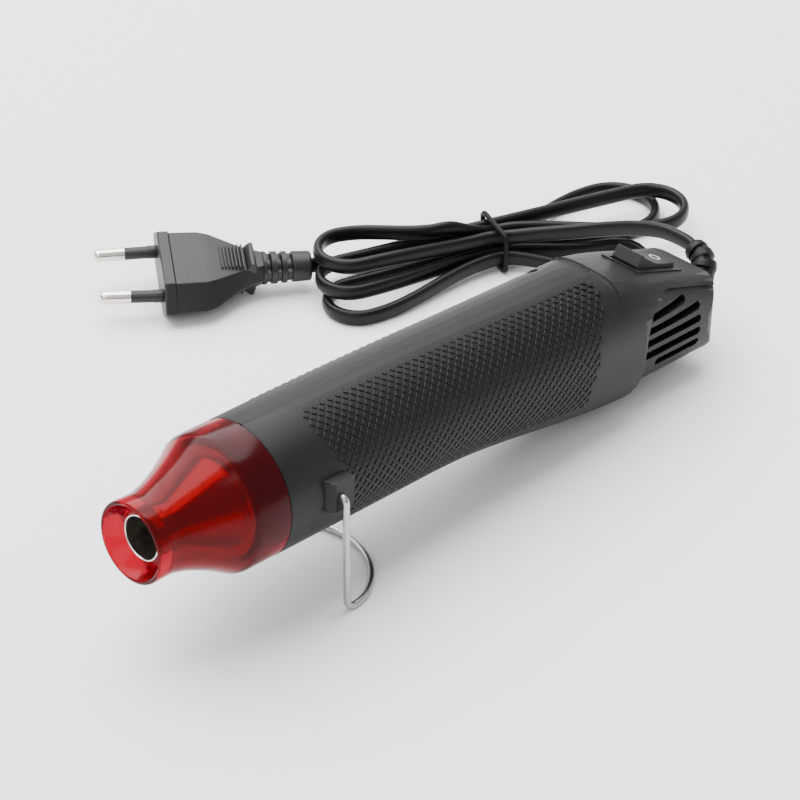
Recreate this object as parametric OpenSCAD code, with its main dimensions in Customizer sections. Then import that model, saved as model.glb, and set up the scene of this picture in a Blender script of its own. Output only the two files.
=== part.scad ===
// Embossing heat tool, standing on its wire stand and its belly, with its lead tied up behind it.
// The tool is drawn lying along X with its mouth at x = 0, then tilted and stood on the floor at z = 0.
// Seen from behind with the switch on top, its left side is at negative y.

/* [Casing] */
// Length from the mouth to the rear face
tool_len = 215.8; // [212:0.2:220]
// Radius of the round barrel of the casing
barrel_r = 19.9; // [19.5:0.1:20.2]
// Thickness of the moulded walls
wall = 2.2; // [2:0.1:2.4]
// How far the belly hangs below the barrel at its deepest
belly_drop = 9.5; // [8.5:0.1:10]
// Half width of the flat vent panels at the tail
tail_half_w = 16.5; // [16.2:0.1:17]
// Depth of the tail's underside below the axis
tail_depth = 22.4; // [21.5:0.1:22.8]
// Nose-up tilt of the standing tool, in degrees
tilt = 3; // [2.5:0.25:3.5]

/* [Deck and switch] */
// Slope of the switch deck against the axis, in degrees
deck_slope = 18.5; // [17:0.5:19.5]
// Where the deck starts
deck_x = 183.6; // [182.6:0.2:184.6]
// Height of the deck's front edge above the axis
deck_h = 12.7; // [12:0.1:13.4]
// Length of the switch's bezel
bezel_l = 21; // [21:0.5:22]
// Width of the switch's bezel
bezel_w = 14; // [14:0.5:15]
// Angle that the rocker turns through
rocker_travel = 18.5; // [16:0.5:19]

/* [Nozzle guard] */
// Length of the guard from the mouth to the casing
guard_len = 38.8; // [38:0.1:40]
// Outer radius of the guard's lip
lip_r = 11.8; // [11.2:0.1:12.4]
// Outer radius of the steel outlet tube
outlet_r = 6.6; // [6.2:0.1:7]
// How far the outlet tube sits behind the lip
outlet_in = 4.1; // [3.4:0.1:4.8]

/* [Stand] */
// Thickness of the stand's wire
wire_d = 2; // [1.8:0.1:2.2]
// Where the stand's pivot is along the tool
pivot_x = 54; // [52:0.5:56]
// Height of the pivot above the axis
pivot_h = 1.7; // [1:0.1:2.5]
// Half the distance between the stand's legs
leg_y = 24.1; // [24:0.1:25]
// Reach of the stand's foot behind its legs
foot_reach = 20; // [18:0.5:22]

/* [Fan and heater] */
// Blades on the fan
blades = 7; // [5:1:9]
// Turns of the heating coil
coil_turns = 9; // [6:1:12]

/* [Lead and plug] */
// Width of the flat lead
cord_w = 4.8; // [4.6:0.1:4.8]
// Thickness of the flat lead
cord_t = 3; // [2.8:0.1:3]
// Distance between the plug's pins at their base
pin_pitch = 18.6; // [18:0.1:19]

/* [Hidden] */

fine = 64;
eps = 0.01;
gap = 0.3;
fit = 0.05;

// Where the belly touches the floor, and the tool's place above it
belly_x = 179;
belly_bottom = barrel_r - 0.6 + belly_drop;
mouth_z = belly_x * sin(tilt) + belly_bottom * cos(tilt);
x_front = -lip_r * sin(tilt);
x_back = tool_len * cos(tilt);
x_mid = (x_front + x_back) / 2;

module placed() {
    translate([-x_mid, 0, mouth_z]) rotate([0, tilt, 0]) children();
}

function placed_point(x, y, z) = [
    x * cos(tilt) + z * sin(tilt) - x_mid, y, z * cos(tilt) - x * sin(tilt) + mouth_z];

module rod_x(x, len, r) {
    translate([x, 0, 0]) rotate([0, 90, 0]) cylinder(r = r, h = len, $fn = fine);
}

module tube_x(x, len, r_out, r_in) {
    difference() {
        rod_x(x, len, r_out);
        rod_x(x - 1, len + 2, r_in);
    }
}

module rod_y(x, z, y0, y1, r) {
    translate([x, min(y0, y1), z]) rotate([-90, 0, 0]) cylinder(r = r, h = abs(y1 - y0), $fn = fine);
}

module box(low, high) {
    translate(low) cube(high - low);
}

// A profile of [x, radius] points spun about the tool's axis
module spun(points) {
    rotate([0, 90, 0]) rotate_extrude($fn = fine) polygon([for (p = points) [p[1], p[0]]]);
}

// A side view outline of [x, z] points, as thick as y0 to y1
module side_prism(points, y0, y1) {
    translate([0, y1, 0]) rotate([90, 0, 0]) linear_extrude(y1 - y0) polygon(points);
}

function ease(t) = let (c = max(0, min(1, t))) c * c * (3 - 2 * c);
function arc(cx, cy, r, a0, a1, n) = [for (i = [0 : n]) let (a = a0 + (a1 - a0) * i / n)
    [cx + r * cos(a), cy + r * sin(a)]];

// A tube of the given section swept along points. The section's second coordinate stays as upright
// as the path allows, or where turning is set, the section is carried along without twist
function unit(v) = v / norm(v);
function heading(p, i) = unit(p[min(i + 1, len(p) - 1)] - p[max(i - 1, 0)]);
function square_to(v, t) = unit(v - (v * t) * t);
function carried(p) = [for (i = 0, s = unit(cross([0, 0, 1], heading(p, 0))); i < len(p);
    i = i + 1, s = square_to(s, heading(p, min(i, len(p) - 1)))) s];
module swept(points, section, turning = false) {
    n = len(points);
    m = len(section);
    sides = turning ? carried(points) : [for (i = [0 : n - 1]) unit(cross([0, 0, 1], heading(points, i)))];
    rings = [for (i = [0 : n - 1]) let (
        t = heading(points, i),
        side = sides[i],
        up = cross(t, side))
        for (s = section) points[i] + s[0] * side + s[1] * up];
    skin = [for (i = [0 : n - 2]) for (j = [0 : m - 1]) let (k = (j + 1) % m)
        for (f = [[i * m + j, (i + 1) * m + j, i * m + k],
            [i * m + k, (i + 1) * m + j, (i + 1) * m + k]]) f];
    ends = [[for (j = [0 : m - 1]) j], [for (j = [m - 1 : -1 : 0]) (n - 1) * m + j]];
    polyhedron(rings, concat(skin, ends), convexity = 10);
}

// A smooth curve through points, with a number of steps to each stretch
function spline(p, steps) = [for (i = [0 : len(p) - 2]) for (k = [0 : steps - 1])
    let (a = p[max(i - 1, 0)], b = p[i], c = p[i + 1], d = p[min(i + 2, len(p) - 1)], t = k / steps)
    0.5 * (2 * b + (c - a) * t + (2 * a - 5 * b + 4 * c - d) * t * t
        + (3 * b - a - 3 * c + d) * t * t * t), p[len(p) - 1]];
function ring(r, n) = [for (i = [0 : n - 1]) r * [cos(360 * i / n), sin(360 * i / n)]];

// Casing
// Each section is a stadium: one circle above another, cut by the deck and the tail's underside
half_steps = 20;
softness = 14;
far_off = 900;
function deck_z(x) = deck_h - (x - deck_x) * tan(deck_slope);
function body_r(x) = barrel_r - 0.6 * ease((x - 60) / 120) - 2 * ease((x - 178) / 38);
function body_top(x) = -1.5 * ease((x - 60) / 114) - 9.6 * pow(max(0, (x - 174) / 41.8), 1.2);
function body_low(x) = -belly_drop * ease((x - 98) / 86);
function soft_min(v) = pow([for (q = v) pow(q, -softness)] * [for (q = v) 1], -1 / softness);

// Distance from the centre to a stadium of radius r along the angle a
function stadium(r, top, low, cz, a) = let (
    dz = (sin(a) >= 0 ? top : low) - cz,
    t = sin(a) * dz + sqrt(max(0, r * r - dz * dz * cos(a) * cos(a))))
    abs(t * sin(a)) < abs(dz) ? r / max(cos(a), eps) : t;

// Half a section from straight down to straight up, as [y, z] points
function half_section(r, top, low, depth, deck) = let (cz = (top + low) / 2)
    [for (i = [0 : half_steps]) let (
        a = -90 + 180 * i / half_steps,
        t = soft_min([stadium(r, top, low, cz, a),
            sin(a) < 0 ? (depth + cz) / -sin(a) : (deck - cz) / max(sin(a), eps)]))
        [i == 0 || i == half_steps ? 0 : t * cos(a), cz + t * sin(a)]];
function body_section(x, in) = half_section(
    body_r(x) - in, body_top(x), body_low(x), far_off, deck_z(x) - in);
function tail_section(x, in) = half_section(
    tail_half_w - in, deck_z(x) - 13.4, -10.5, tail_depth - in, deck_z(x) - in);

// A half loft through sections at stations xs, closed by a flat face at y = back
module half_loft(xs, sections, back) {
    rows = [for (s = sections) concat([[back, s[0][1]]], s, [[back, s[half_steps][1]]])];
    keep = back < 0 ? rows : sections;
    m = len(keep[0]);
    n = len(keep);
    points = [for (k = [0 : n - 1]) for (p = keep[k]) [xs[k], p[0], p[1]]];
    skin = [for (k = [0 : n - 2]) for (i = [0 : m - 1]) let (j = (i + 1) % m)
        for (f = [[k * m + i, (k + 1) * m + i, k * m + j],
            [k * m + j, (k + 1) * m + i, (k + 1) * m + j]]) f];
    ends = [[for (i = [0 : m - 1]) i], [for (i = [m - 1 : -1 : 0]) (n - 1) * m + i]];
    polyhedron(points, concat(skin, ends), convexity = 10);
}

spigot_x = guard_len - 7;
spigot_r = 17.9;
body_xs = [guard_len, 60, 80, 98, 106, 114, 122, 130, 138, 146, 154, 162, 170, 174, 178, 182, 186,
    190, 196, 202, 209, 218];
hollow_xs = [guard_len - 1, 60, 80, 98, 110, 122, 134, 146, 158, 168, 178];
tail_xs = [172, 178, 184, 190, 197, 204, 211, 218];
tail_hollow_xs = [177, 184, 190, 197, 204, 213.4];

// Side view of the recessed vent panel, drawn in by a margin
arch_r = 11;
arch_cx = 190;
arch_cz = -3.5;
function arch_outline(margin) = concat(
    [[arch_cx - arch_r - 3 + margin, -45]],
    arc(arch_cx, arch_cz, arch_r - margin, 180, 90 - deck_slope, 8),
    [[225, arch_cz + (arch_r - margin) / cos(deck_slope) - (225 - arch_cx) * tan(deck_slope)],
        [225, -45]]);

slot_h = 2.4;
slot_pitch = 4;
slot_z = [for (i = [0 : 4]) 1.7 - slot_pitch * i];
slot_back = [199.8, 205.7, 205.7, 205.7, 205.7];
slot_front = [178, 178, 178, 178, 188];

module vents() {
    translate([0, 30, 0]) rotate([90, 0, 0]) linear_extrude(20) intersection() {
        polygon(arch_outline(1.4));
        for (i = [0 : 4]) {
            translate([slot_front[i], slot_z[i] - slot_h / 2])
                square([slot_back[i] - slot_front[i] - slot_h / 2, slot_h]);
            translate([slot_back[i] - slot_h / 2, slot_z[i]]) circle(d = slot_h, $fn = fine);
            translate([slot_front[i], slot_z[i]]) circle(d = slot_h, $fn = fine);
        }
    }
}

// Plan of the tail with its rounded rear edges, drawn in by a wall or not
tail_corner = 8;
module tail_plan(in) {
    w = tail_half_w - in;
    r = tail_corner - in;
    centre = [tool_len - tail_corner, tail_half_w - tail_corner];
    far = concat([[guard_len - 10, w + 6], [178, w + 6], [182, w + 3.5], [centre[0], w + 1.2]],
        arc(centre[0], centre[1], r, 80, 0, 6));
    near = [for (i = [len(far) - 1 : -1 : 0]) [far[i][0], -far[i][1]]];
    translate([0, 0, -50]) linear_extrude(100) polygon(concat(far, near));
}

// Side view of the tail with its rounded lower corner, drawn in by a wall or not
foot_corner = 9.5;
module tail_side(in) {
    centre = [tool_len - foot_corner, foot_corner - tail_depth];
    outline = concat([[guard_len - 10, -50], [190, -50], [190, in - tail_depth - 1]],
        arc(centre[0], centre[1], foot_corner - in, -90, 0, 10),
        [[tool_len - in, 50], [guard_len - 10, 50]]);
    side_prism(outline, -30, 30);
}

module on_deck() {
    translate([deck_x, 0, deck_h]) rotate([0, deck_slope, 0]) children();
}

bezel_u = 13.7;
cutout_l = 20.2;
cutout_w = 12.8;
bezel_sunk = 0.7;
module deck_cutout() {
    on_deck() {
        translate([bezel_u - cutout_l / 2, -cutout_w / 2, -8]) cube([cutout_l, cutout_w, 20]);
        translate([bezel_u - bezel_l / 2 - fit, -bezel_w / 2 - fit, -bezel_sunk])
            cube([bezel_l + 2 * fit, bezel_w + 2 * fit, 20]);
    }
}

// Screws across the casing, as [x, z]
screws = [[127, -17], [160, 13], [166, -20.6], [208.8, -16.3]];
boss_r = 2.8;
screw_r = 1.45;
head_r = 2.7;
head_y = 6;
screw_tip = -8;

// The stand's lugs
lug_y = 22.4;
lug_x0 = pivot_x - 3.6;
lug_x1 = pivot_x + 4.6;
lug_z0 = pivot_h - 4.4;
lug_z1 = pivot_h + 4.4;
pin_end = 17.2;
module lug() {
    chamfer = 1.6;
    translate([0, 0, lug_z0]) linear_extrude(lug_z1 - lug_z0) polygon([[lug_x0, 17.8],
        [lug_x0, lug_y - chamfer], [lug_x0 + chamfer, lug_y], [lug_x1, lug_y], [lug_x1, 17.8]]);
}

gland_z = -7.6;
gland_r = 3.6;
module gland_hole() {
    rod_x(tool_len - 6, 12, gland_r + fit);
}

// Half of the casing on the side of positive y, with its screw bosses and the clamp's posts
module half_case(post_r, posts) {
    difference() {
        intersection() {
            union() {
                difference() {
                    half_loft(body_xs, [for (x = body_xs) body_section(x, 0)], 0);
                    side_prism(arch_outline(0), -1, 40);
                }
                half_loft(tail_xs, [for (x = tail_xs) tail_section(x, 0)], 0);
                intersection() {
                    rod_x(spigot_x, guard_len - spigot_x + 1, spigot_r);
                    box([0, 0, -40], [80, 40, 40]);
                }
                lug();
            }
            tail_plan(0);
            tail_side(0);
        }
        difference() {
            intersection() {
                union() {
                    half_loft(hollow_xs, [for (x = hollow_xs) body_section(x, wall)], -1);
                    half_loft(tail_hollow_xs, [for (x = tail_hollow_xs) tail_section(x, wall)], -1);
                }
                tail_plan(wall);
                tail_side(wall);
            }
            for (s = screws) rod_y(s[0], s[1], 0, 24, post_r);
            if (posts) clamp_posts();
        }
        rod_x(spigot_x + 2, guard_len - spigot_x, spigot_r - 1.6);
        rod_x(spigot_x - 1, 5, 15.2);
        vents();
        deck_cutout();
        translate([0, 0, gland_z]) gland_hole();
        rod_y(pivot_x, pivot_h, pin_end - gap, 30, wire_d / 2 + fit);
    }
}

module left_shell() {
    color("#262728") placed() mirror([0, 1, 0]) difference() {
        half_case(boss_r, true);
        for (s = screws) rod_y(s[0], s[1], -1, -screw_tip + 0.6, screw_r - 0.1);
        clamp_pilots();
    }
}

module right_shell() {
    color("#262728") placed() difference() {
        half_case(boss_r + 0.8, false);
        for (s = screws) {
            rod_y(s[0], s[1], -1, 25, screw_r + 0.15);
            rod_y(s[0], s[1], head_y, 25, head_r + 0.2);
        }
    }
}

module case_screws() {
    color("#b9babc") placed() for (s = screws) difference() {
        union() {
            rod_y(s[0], s[1], screw_tip, head_y + 0.5, screw_r - 0.1);
            rod_y(s[0], s[1], head_y, head_y + 2, head_r);
        }
        for (a = [0, 90]) translate([s[0], head_y + 1.4, s[1]]) rotate([0, a, 0])
            cube([3.4, 1.6, 0.8], center = true);
    }
}

// Nozzle guard
guard_wall = 1.6;
shoulder_x = 27.5;
neck_x = 6;
function guard_r(x) = lip_r - 0.15
    + (barrel_r - lip_r + 0.1) * pow((x - neck_x) / (shoulder_x - neck_x), 1.6);
module nozzle_guard() {
    web_x = outlet_in + 1.8;
    steps = 12;
    neck = [for (i = [0 : steps]) let (x = neck_x + (shoulder_x - 0.5 - neck_x) * i / steps) [x, guard_r(x)]];
    inner = [for (i = [steps : -1 : 0]) let (x = neck_x + 1 + (shoulder_x - neck_x) * i / steps)
        [x, max(9, guard_r(x - 1) - guard_wall)]];
    profile = concat(
        [[0.7, lip_r - 1.4], [0, lip_r - 0.9], [0.2, lip_r - 0.2], [0.9, lip_r]],
        neck,
        [[shoulder_x + 0.7, barrel_r - 0.05], [guard_len - gap / 3, barrel_r - 0.05],
            [guard_len - gap / 3, spigot_r + fit]],
        [[shoulder_x + 1.6, spigot_r + fit]],
        [for (p = inner) [min(p[0], shoulder_x + 1), min(p[1], spigot_r + fit)]],
        [[web_x, 9], [web_x, outlet_r + fit], [outlet_in, outlet_r + fit]]);
    color("#c4101c") placed() spun(profile);
}

// Heater
barrel_x = 31;
heater_r = 15;
module outlet_nozzle() {
    t = 0.5;
    color("#c9c9c6") placed() spun([
        [outlet_in - 0.3, outlet_r], [14.5, outlet_r], [27.6, 12.6], [28.8, 12.9], [28.8, heater_r + 0.8],
        [29.4, heater_r + 0.8], [29.4, 12.6], [28, 12], [15, outlet_r - t], [outlet_in - 0.3, outlet_r - t]]);
}

module heater_barrel() {
    color("#b4b4b0") placed() tube_x(29.5, 64, heater_r, heater_r - 0.5);
}

module mica_sleeve() {
    color("#b59a6a") placed() tube_x(33, 59, 14.3, 13.9);
}

plate_half = 9.8;
coil_r = 10.6;
module mica_frame() {
    t = 0.8;
    notches = [for (i = [0 : coil_turns - 1]) 41 + 44 * (i + 0.5) / coil_turns];
    color("#c2a877") placed() union() {
        box([36, -plate_half, -t / 2], [90, plate_half, t / 2]);
        box([36, -t / 2, -plate_half], [90, t / 2, plate_half]);
        for (x = [38, 88]) tube_x(x, 1, 13.6, 9.4);
    }
}

module heating_coil() {
    steps = 12;
    n = coil_turns * steps;
    path = [for (i = [0 : n]) let (a = 360 * i / steps)
        [42 + 42 * i / n, coil_r * cos(a), coil_r * sin(a)]];
    color("#a9a49c") placed() helix_tube(path, 0.45, 5);
}

// A round tube along a path that winds about the X axis
module helix_tube(path, r, sides) {
    n = len(path);
    rings = [for (i = [0 : n - 1]) let (
        t = heading(path, i),
        out = unit([0, path[i][1], path[i][2]]),
        side = unit(cross(t, out)))
        for (j = [0 : sides - 1]) let (a = 360 * j / sides)
            path[i] + r * (cos(a) * unit(cross(side, t)) + sin(a) * side)];
    skin = [for (i = [0 : n - 2]) for (j = [0 : sides - 1]) let (k = (j + 1) % sides)
        for (f = [[i * sides + j, (i + 1) * sides + j, i * sides + k],
            [i * sides + k, (i + 1) * sides + j, (i + 1) * sides + k]]) f];
    ends = [[for (j = [0 : sides - 1]) j], [for (j = [sides - 1 : -1 : 0]) (n - 1) * sides + j]];
    polyhedron(rings, concat(skin, ends), convexity = 10);
}

module thermal_fuse() {
    color("#d8d4c8") placed() translate([0, 5.2, 5.2]) {
        rod_x(70, 10, 1.9);
        rod_x(62, 26, 0.4);
    }
}

module heater_disc() {
    color("#cfc6b2") placed() difference() {
        rod_x(90.4, 1.6, 13.8);
        for (a = [0 : 60 : 300]) rotate([a + 30, 0, 0]) translate([0, 0, 9]) rod_x(89, 4, 3);
        rod_x(89, 4, 4);
    }
}

// Fan and motor
fan_x = 100;
module fan_housing() {
    color("#e8e6df") placed() union() {
        tube_x(96, 24, 15.5, 14.7);
        tube_x(118, 2, 15, 13.4);
        tube_x(118, 2, 5.6, 3.4);
        for (a = [0 : 120 : 240]) rotate([a, 0, 0]) box([118, -1.2, 5], [120, 1.2, 14]);
    }
}

module fan() {
    color("#2f3a44") placed() difference() {
        union() {
            rod_x(fan_x, 12, 4.2);
            for (i = [0 : blades - 1]) rotate([360 * i / blades, 0, 0])
                translate([fan_x + 6, 0, 8.6]) rotate([0, 0, 38]) cube([9, 1, 10.6], center = true);
        }
        rod_x(fan_x + 2, 12, 1);
    }
}

motor_x = 120.6;
motor_len = 27;
module motor_shaft() {
    color("#d5d6d8") placed() rod_x(fan_x + 2, motor_x + motor_len - fan_x + 1.5, 1);
}

module motor_can() {
    color("#b8bbbe") placed() difference() {
        union() {
            rod_x(motor_x, motor_len - 2, 12.1);
            rod_x(motor_x - 1.6, 3, 3.1);
        }
        rod_x(motor_x - 3, 8, 1 + fit);
        rod_x(motor_x + 1, motor_len - 3 + eps, 11.3);
    }
}

module motor_end_cap() {
    color("#1b1b1d") placed() difference() {
        union() {
            rod_x(motor_x + motor_len - 2, 2, 12.1);
            rod_x(motor_x + motor_len, 1.6, 3.4);
        }
        rod_x(motor_x + motor_len - 3, 8, 1 + fit);
    }
}

module motor_sleeve() {
    color("#3a3a3a") placed() union() {
        tube_x(123, 22, 13.1, 12.15);
        for (a = [45 : 90 : 315]) rotate([a, 0, 0]) box([126, -1.5, 12.6], [142, 1.5, 15.9]);
    }
}

board_x = 151;
module rectifier_board() {
    color("#b88a3c") placed() difference() {
        rod_x(board_x, 1.4, 10.5);
        rod_x(board_x - 1, 4, 1.6);
        for (y = [-7, 7]) translate([0, y, 0]) rod_x(board_x - 1, 4, 0.7);
    }
}

module diodes() {
    color("#1a1a1a") placed() for (i = [0 : 3]) translate([board_x + 2.7, -4.5 + 3 * i, -3.5])
        cylinder(r = 1.2, h = 5, $fn = 24);
}

module capacitor() {
    color("#b5602c") placed() translate([board_x + 3.7, 0, 5.6]) rotate([90, 0, 0])
        cylinder(r = 2.2, h = 5, center = true, $fn = 32);
}

// Switch: the rocker is drawn level about its pivot, then tipped to off
rocker_w = 9.8;
pivot_n = -2.5;
switch_depth = 11;
module at_rocker() {
    on_deck() translate([bezel_u, 0, pivot_n]) children();
}

module switch_frame() {
    inner_l = 18.6;
    inner_w = rocker_w + 0.6;
    color("#1d1e1f") placed() difference() {
        on_deck() translate([bezel_u, 0, 0]) {
            translate([-bezel_l / 2, -bezel_w / 2, -bezel_sunk]) cube([bezel_l, bezel_w, bezel_sunk + 0.2]);
            translate([-10, -6.3, -switch_depth]) cube([20, 12.6, switch_depth]);
        }
        on_deck() translate([bezel_u, 0, 0])
            translate([-inner_l / 2, -inner_w / 2, 1.6 - switch_depth]) cube([inner_l, inner_w, 20]);
        at_rocker() rod_y(0, 0, -rocker_w / 2 - 0.9, rocker_w / 2 + 0.9, 1 + fit);
    }
}

module switch_rocker() {
    end_u = 8.1;
    out_u = 8.8;
    valley = 4.2;
    rise = end_u * tan(rocker_travel / 2);
    half = [[0, valley], [end_u * 0.5, valley + rise * 0.42], [end_u, valley + rise], [out_u, 1.9],
        [out_u - 1.2, -1.4], [3, -4.6]];
    outline = concat(half, [for (i = [len(half) - 1 : -1 : 1]) [-half[i][0], half[i][1]]]);
    color("#2b2c2e") placed() at_rocker() rotate([0, rocker_travel / 2, 0]) union() {
        side_prism(outline, -rocker_w / 2, rocker_w / 2);
        rod_y(0, 0, -rocker_w / 2 - 0.7, rocker_w / 2 + 0.7, 1);
    }
}

module switch_terminals() {
    color("#c9a24a") placed() on_deck() for (u = [-5, 5])
        translate([bezel_u + u - 0.4, -2.4, -switch_depth - 6.5]) cube([0.8, 4.8, 6.5]);
}

// Cord clamp inside the tail: a bridge over the end of the lead, screwed to two posts
clamp_x = 200;
clamp_z = -12.4;
clamp_half = 4.4;
bridge_y = 3.6;
module clamp_posts() {
    for (s = [-1, 1]) rod_y(clamp_x, clamp_z + clamp_half * s, 2.4, 14.6, 1.8);
}

module clamp_pilots() {
    for (s = [-1, 1]) rod_y(clamp_x, clamp_z + clamp_half * s, 0, 9, 0.95);
}

module cord_clamp() {
    color("#3c3c3e") placed() difference() {
        box([clamp_x - 2.2, -2.4 + gap, clamp_z - 6.4], [clamp_x + 2.2, bridge_y, clamp_z + 6.4]);
        for (s = [-1, 1]) rod_y(clamp_x, clamp_z + clamp_half * s, -5, 5, 1.1);
        box([clamp_x - 4, -5, clamp_z - cord_w / 2 - fit],
            [clamp_x + 4, cord_t / 2 + fit, clamp_z + cord_w / 2 + fit]);
    }
}

module clamp_screws() {
    color("#b9babc") placed() for (s = [-1, 1]) {
        rod_y(clamp_x, clamp_z + clamp_half * s, -7.5, bridge_y + 0.2, 0.9);
        rod_y(clamp_x, clamp_z + clamp_half * s, bridge_y, bridge_y + 1.4, 1.9);
    }
}

module cord_inner_end() {
    color("#151617") placed() swept([[210.6, 0, gland_z], [209.8, 0, gland_z], [208.4, 0, gland_z - 0.7],
        [205.4, 0, -10.9], [203.3, 0, clamp_z + 0.15], [202.4, 0, clamp_z], [197.2, 0, clamp_z]],
        cord_section);
}

module splice_cap() {
    color("#d9d2c0") placed() translate([0, 8.4, -14.5]) union() {
        rod_x(168, 9, 2.2);
        translate([168, 0, 0]) sphere(r = 2.2, $fn = 32);
    }
}

// Insulated leads inside the casing
lead_r = 0.7;
module lead(points, r) {
    swept(spline(points, 3), ring(r, 6));
}

module live_lead() {
    color("#6b4226") placed() lead([[197.5, -0.8, -12.2], [195.6, -1.4, -13.4], [194.5, -0.9, -13.5],
        [194.9, 0, -11.9], [195.76, 0, -9.95]], lead_r);
}

module heater_lead() {
    color("#6b4226") placed() lead([[186.26, 0, -6.76], [185.5, -0.2, -8.8], [182, -2.4, -10.4],
        [176, -5, -9.6], [164, -9, -7], [152, -13.5, -5], [142, -14.6, -4], [124, -16, -3],
        [108, -16.5, -2], [98, -16.4, -1], [95.6, -16.4, -1], [94.75, -15, -1], [94.7, -12, -1],
        [92.6, -9, -1]], lead_r);
}

module neutral_lead() {
    color("#2b4f8c") placed() lead([[197.5, 0.8, -12.6], [195.4, 2.4, -13.6], [190, 6.4, -14.4],
        [184, 8.2, -14.5], [177.05, 8.4, -14.5]], lead_r);
}

module motor_leads() {
    color("#b3202a") placed() for (s = [-1, 1])
        lead([[board_x + 1.5, 7 * s, -0.2], [board_x + 4, 10 * s, -0.6], [146, 14.2 * s, 1],
            [136, 14.9 * s, 1.6], [120, 16.4 * s, 1.8], [106, 16.5 * s, 1.8], [97.4, 16.5 * s, 1.8],
            [95.5, 16.4 * s, 1.8], [94.75, 15 * s, 1.8], [94.7, 12 * s, 1.8], [92.6, 9 * s, 1.8]], 0.6);
}

// Stand: pins in the lugs, two upright legs and a bowed foot on the floor
pivot = placed_point(pivot_x, 0, pivot_h);
pin_bend = 1.6;
toe_bend = 2.5;
foot_corner_r = 14;
// Round the bends the wire is a hair thinner than its pins
slim = 0.01;
module stand_wire() {
    r = wire_d / 2;
    foot_x = pivot[0] + toe_bend;
    spread = leg_y - foot_corner_r;
    depth = foot_reach - foot_corner_r;
    back = (spread * spread - depth * depth) / (2 * depth);
    turn = atan2(spread, back);
    half = concat([[pivot[0], pin_end + 1, pivot[2]]],
        [for (p = arc(leg_y - pin_bend, pivot[2] - pin_bend, pin_bend, 90, 0, 4)) [pivot[0], p[0], p[1]]],
        [for (p = arc(foot_x, r + toe_bend, toe_bend, 180, 270, 4)) [p[0], leg_y, p[1]]],
        [for (p = arc(foot_x, spread, foot_corner_r, 82, turn, 5)) [p[0], p[1], r]]);
    bow = [for (p = arc(foot_x - back, 0, foot_reach + back, 0.8 * turn, -0.8 * turn, 8)) [p[0], p[1], r]];
    color("#c4c5c7") union() {
        for (s = [-1, 1]) rod_y(pivot[0], pivot[2], s * pin_end, s * (leg_y - pin_bend - gap), r);
        swept(concat(half, bow, [for (i = [len(half) - 1 : -1 : 0]) [half[i][0], -half[i][1], half[i][2]]]),
            ring(r - slim, 16), true);
    }
}

// Strain relief: a ribbed boot that bends up and towards the hank
relief_path = [[108.2, 0, 19.2], [111.6, -0.8, 19.4], [114.9, -1.2, 20.6], [117.3, -0.3, 22.7],
    [118.9, 2.4, 24.4], [119.7, 6.2, 25.1]];
lead_route = [[120.3, 11, 25.6], [120.7, 19, 24.8], [120.2, 29, 21.8], [118.8, 39, 17.8], [116, 48, 14.3]];

cord_sides = 8;
function flat_section(w, t, n) = let (half = n % 4 == 0 ? 0.5 : 0)
    [for (i = [0 : n - 1]) let (a = 360 * (i + half) / n)
        [t / 2 * sign(cos(a)) * pow(abs(cos(a)), 0.7) / pow(cos(360 * half / n), 0.7),
            w / 2 * sign(sin(a)) * pow(abs(sin(a)), 0.9) / pow(cos(180 / n), 0.9)]];
cord_section = flat_section(cord_w, cord_t, cord_sides);

module strain_relief() {
    core = spline(relief_path, 3);
    color("#18191a") union() {
        swept(core, ring(2.7, 12));
        for (i = [2, 5, 8, 11, 14]) swept([core[i], core[i + 1]], ring(4.3 - 0.06 * i, 12));
        placed() translate([0, 0, gland_z]) {
            rod_x(tool_len - 5, 6.5, gland_r);
            rod_x(tool_len - 5, 2, gland_r + 1.2);
        }
    }
}

module cord_lead() {
    color("#151617") swept(lead_points, cord_section);
}

// Hank: seven runs through the tie, joined by three folds at each end
// It is laid out along u, away from the plug, and v, away from the tool, about the tie
tie_at = [100, 70];
hank_turn = -21.3;
tie_r = 0.8;
layer = cord_w + 0.65;
column = cord_t + 0.5;
// Where each run passes the tie, in columns and layers
slots = [[1.5, 0], [0.5, 0], [-1.5, 0], [-0.5, 0], [1.5, 1], [0.5, 1], [-0.5, 1]];
tie_shift = 0.8;
// Folds at the plug's end and at the far end: [u, v, radius, layer]
left_folds = [[-47, -6.5, 9.5, 0], [-47.5, -1, 9, 1], [-45, 5, 9.5, 2]];
right_folds = [[47, 9.6, 13, 0], [34.5, -17, 9, 0], [53.4, -1.6, 11, 1]];
// Which edge of its fold each run meets: 1 is the far one, -1 the near one
left_edge = [0, 1, -1, -1, 1, 1, -1];
right_edge = [1, -1, -1, 1, 1, -1, 0];
hank_start = [[-55.4, 10.7, 7.2], [-52.5, 10.6, 6.9], [-49, 11.4, 5.9], [-45, 11.6, 4.4], [-41, 11.6, 3.1]];
start_run = [-37, 11.4, cord_w / 2];
hank_end = [[5, -2.4, 9.7], [9.2, -4.5, 10.4], [12, -6, 10.9]];
early_climb = 6;
waist_lift = 2 * tie_r + 0.3;

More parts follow.
